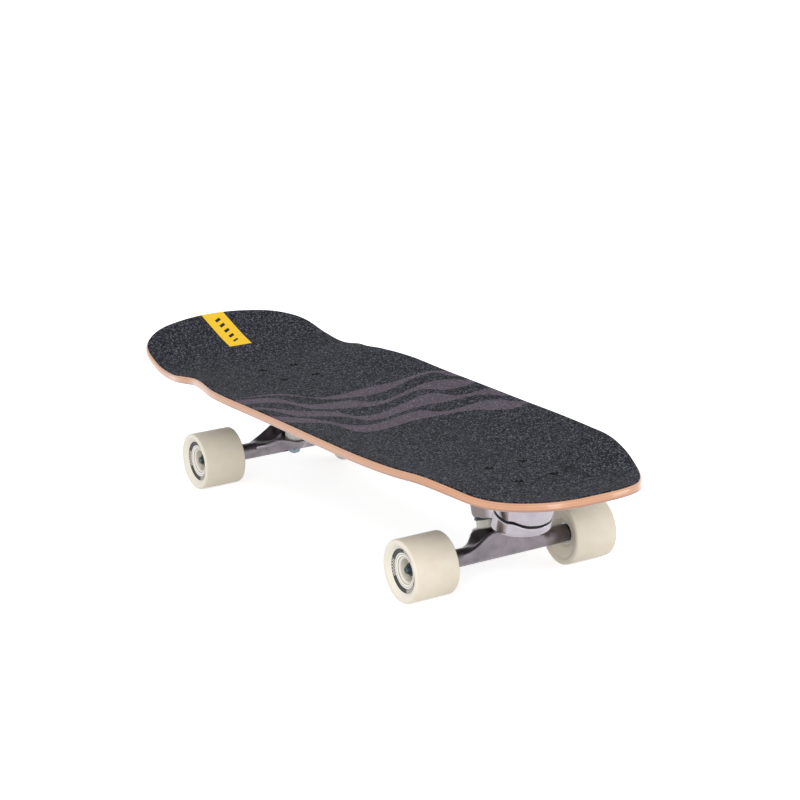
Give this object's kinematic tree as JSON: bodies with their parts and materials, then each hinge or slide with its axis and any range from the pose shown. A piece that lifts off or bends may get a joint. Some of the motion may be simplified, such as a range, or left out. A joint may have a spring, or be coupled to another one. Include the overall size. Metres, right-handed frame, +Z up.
{
  "type": "surf skateboard",
  "caption": "kicked maple deck with grip tape, a plain truck on a riser at the tail and a truck on a sprung swivel adapter at the nose, on soft wheels",
  "frame": {"origin": "on the ground under the middle of the deck, half way between tail end, nose end and both rails", "axes": "+X along the board to the nose, +Y to the left rail when facing the nose, +Z up"},
  "size_m": [0.835, 0.2642, 0.1597],
  "materials": {
    "maple": "pressed maple plies, satin lacquer on the edge",
    "grip": "coarse grit on black film, with a printed band of mauve waves",
    "black_steel": "black oxide",
    "zinc_steel": "bright zinc plating",
    "cast_aluminium": "tumbled casting, half gloss",
    "polished_aluminium": "polished casting",
    "bushing": "clear whitish urethane",
    "urethane": "cream urethane, satin",
    "black_rubber": "matt",
    "spring_steel": "oiled spring steel"
  },
  "bodies": {
    "board": {"deck": "maple", "grip_tape": "grip", "nose_deck_bolt_1": "black_steel", "nose_deck_bolt_2": "black_steel", "nose_deck_bolt_3": "black_steel", "nose_deck_bolt_4": "black_steel", "nose_deck_nut_1": "zinc_steel", "nose_deck_nut_2": "zinc_steel", "nose_deck_nut_3": "zinc_steel", "nose_deck_nut_4": "zinc_steel", "tail_deck_bolt_1": "black_steel", "tail_deck_bolt_2": "black_steel", "tail_deck_bolt_3": "black_steel", "tail_deck_bolt_4": "black_steel", "tail_deck_nut_1": "zinc_steel", "tail_deck_nut_2": "zinc_steel", "tail_deck_nut_3": "zinc_steel", "tail_deck_nut_4": "zinc_steel", "riser_pad": "black_rubber", "tail_baseplate": "cast_aluminium", "tail_kingpin": "zinc_steel", "tail_kingpin_nut": "zinc_steel", "tail_top_bushing": "bushing", "tail_low_bushing": "bushing", "tail_top_washer": "zinc_steel", "tail_low_washer": "zinc_steel", "tail_pivot_cup": "black_rubber", "adapter_base": "polished_aluminium", "swivel_bolt": "black_steel", "thrust_washer": "zinc_steel", "return_spring": "spring_steel"},
    "arm": {"swing_arm": "polished_aluminium", "nose_kingpin": "zinc_steel", "nose_kingpin_nut": "zinc_steel", "nose_top_bushing": "bushing", "nose_low_bushing": "bushing", "nose_top_washer": "zinc_steel", "nose_low_washer": "zinc_steel", "nose_pivot_cup": "black_rubber"},
    "nose_truck": {"nose_hanger": "cast_aluminium", "nose_axle": "zinc_steel", "nose_left_axle_nut": "zinc_steel", "nose_right_axle_nut": "zinc_steel"},
    "tail_truck": {"tail_hanger": "cast_aluminium", "tail_axle": "zinc_steel", "tail_left_axle_nut": "zinc_steel", "tail_right_axle_nut": "zinc_steel"},
    "nose_left_roller": {"nose_left_wheel": "urethane", "nose_left_inner_bearing": "zinc_steel", "nose_left_outer_bearing": "zinc_steel"},
    "nose_right_roller": {"nose_right_wheel": "urethane", "nose_right_inner_bearing": "zinc_steel", "nose_right_outer_bearing": "zinc_steel"},
    "tail_left_roller": {"tail_left_wheel": "urethane", "tail_left_inner_bearing": "zinc_steel", "tail_left_outer_bearing": "zinc_steel"},
    "tail_right_roller": {"tail_right_wheel": "urethane", "tail_right_inner_bearing": "zinc_steel", "tail_right_outer_bearing": "zinc_steel"}
  },
  "joints": [
    {"name": "nose_swivel", "type": "hinge", "parent": "board", "child": "arm", "pos_m": [0.28, 0, 0.0833], "axis": [0.2756, 0, 0.9613], "range_deg": [-40, 40], "stiffness_Nm_per_rad": 12},
    {"name": "nose_tilt", "type": "hinge", "parent": "arm", "child": "nose_truck", "pos_m": [0.21485, 0, 0.04589], "axis": [0.8955, 0, 0.4451], "range_deg": [-12, 12], "stiffness_Nm_per_rad": 60, "deforming": ["nose_top_bushing", "nose_low_bushing"]},
    {"name": "tail_tilt", "type": "hinge", "parent": "board", "child": "tail_truck", "pos_m": [-0.20505, 0, 0.04589], "axis": [-0.8955, 0, 0.4451], "range_deg": [-12, 12], "stiffness_Nm_per_rad": 60, "deforming": ["tail_top_bushing", "tail_low_bushing"]},
    {"name": "nose_left_spin", "type": "hinge", "parent": "nose_truck", "child": "nose_left_roller", "pos_m": [0.2383, 0.097, 0.033], "axis": [0, 1, 0], "continuous": true},
    {"name": "nose_right_spin", "type": "hinge", "parent": "nose_truck", "child": "nose_right_roller", "pos_m": [0.2383, -0.097, 0.033], "axis": [0, 1, 0], "continuous": true},
    {"name": "tail_left_spin", "type": "hinge", "parent": "tail_truck", "child": "tail_left_roller", "pos_m": [-0.2285, 0.097, 0.033], "axis": [0, 1, 0], "continuous": true},
    {"name": "tail_right_spin", "type": "hinge", "parent": "tail_truck", "child": "tail_right_roller", "pos_m": [-0.2285, -0.097, 0.033], "axis": [0, 1, 0], "continuous": true}
  ]
}
